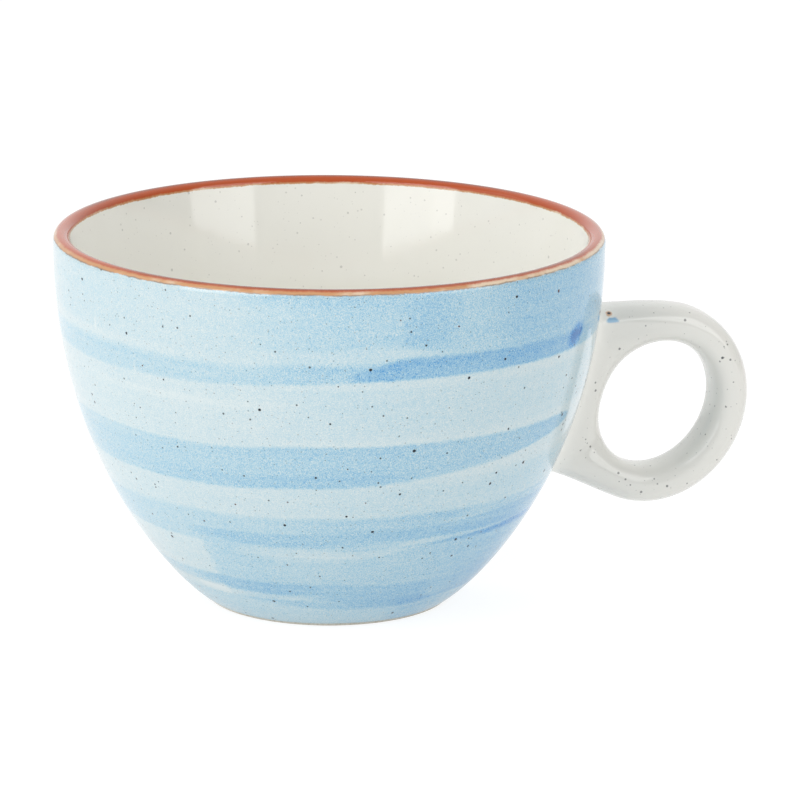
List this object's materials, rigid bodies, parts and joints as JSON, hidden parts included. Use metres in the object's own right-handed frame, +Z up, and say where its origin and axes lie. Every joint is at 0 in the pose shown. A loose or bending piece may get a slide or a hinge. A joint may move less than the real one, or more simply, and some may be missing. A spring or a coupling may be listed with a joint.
{
  "type": "cappuccino cup",
  "caption": "Wide stoneware cappuccino cup with a ring handle, blue brushed bands outside, speckled off-white glaze inside and a terracotta rim.",
  "frame": {"origin": "on the bowl's axis, in the plane of the foot ring that the cup stands on", "axes": "+Z up along the bowl's axis, +X along the handle, +Y to its left"},
  "size_m": [0.1351, 0.105, 0.0716],
  "materials": {
    "bare_stoneware": "matte, unglazed, slightly sandy",
    "blue_banded_glaze": "gloss, brushed pale to mid blue bands with dark iron specks",
    "off_white_glaze": "gloss, warm white with fine grey and brown specks",
    "terracotta_glaze": "gloss, terracotta red-brown breaking lighter at its edges",
    "slip_under_glaze": "gloss, warm white"
  },
  "bodies": {
    "root": {"bowl": "bare_stoneware", "outer_glaze": "blue_banded_glaze", "inner_glaze": "off_white_glaze", "rim_band": "terracotta_glaze", "base_glaze": "off_white_glaze", "handle_slip": "slip_under_glaze", "handle": "bare_stoneware", "handle_glaze": "off_white_glaze"}
  },
  "joints": []
}
